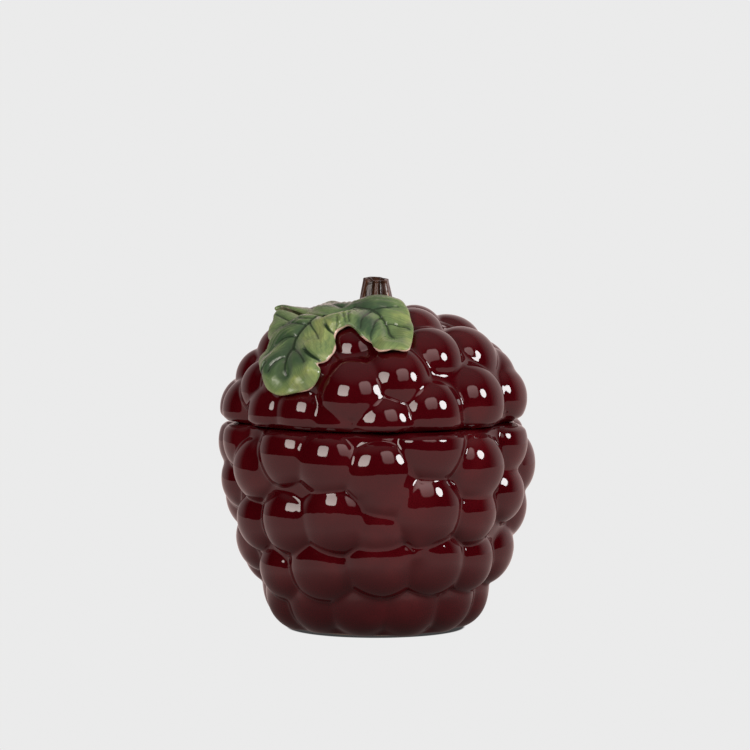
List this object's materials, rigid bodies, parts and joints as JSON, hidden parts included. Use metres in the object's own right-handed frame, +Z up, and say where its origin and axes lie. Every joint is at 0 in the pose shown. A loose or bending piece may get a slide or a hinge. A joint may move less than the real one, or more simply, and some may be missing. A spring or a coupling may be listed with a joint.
{
  "type": "jam pot",
  "caption": "Lidded jam pot shaped like a bunch of grapes: bulging pot, domed lift-off lid with a locating ring, draped vine leaf and a stem as its knob.",
  "frame": {"origin": "centre of the foot ring, on the face that the pot stands on", "axes": "+Z up along the pot's axis, -Y to the front that the picture shows, +X to its right"},
  "size_m": [0.1184, 0.1178, 0.1308],
  "materials": {
    "burgundy_glaze": "deep glossy glaze",
    "green_glaze": "glossy mottled glaze",
    "brown_glaze": "glossy streaked glaze",
    "bare_clay": "bare fired clay"
  },
  "bodies": {
    "pot": {"pot": "burgundy_glaze", "foot_ring": "bare_clay"},
    "lid_ring": {"locating_ring": "burgundy_glaze"},
    "lid": {"lid": "burgundy_glaze", "stem": "brown_glaze", "leaf": "green_glaze"}
  },
  "joints": [
    {"name": "lid_lift", "type": "slide", "parent": "pot", "child": "lid_ring", "axis": [0, 0, 1], "range_m": [0, 0.06]},
    {"name": "lid_turn", "type": "hinge", "parent": "lid_ring", "child": "lid", "pos_m": [0, 0, 0.0776], "axis": [0, 0, 1], "continuous": true}
  ]
}
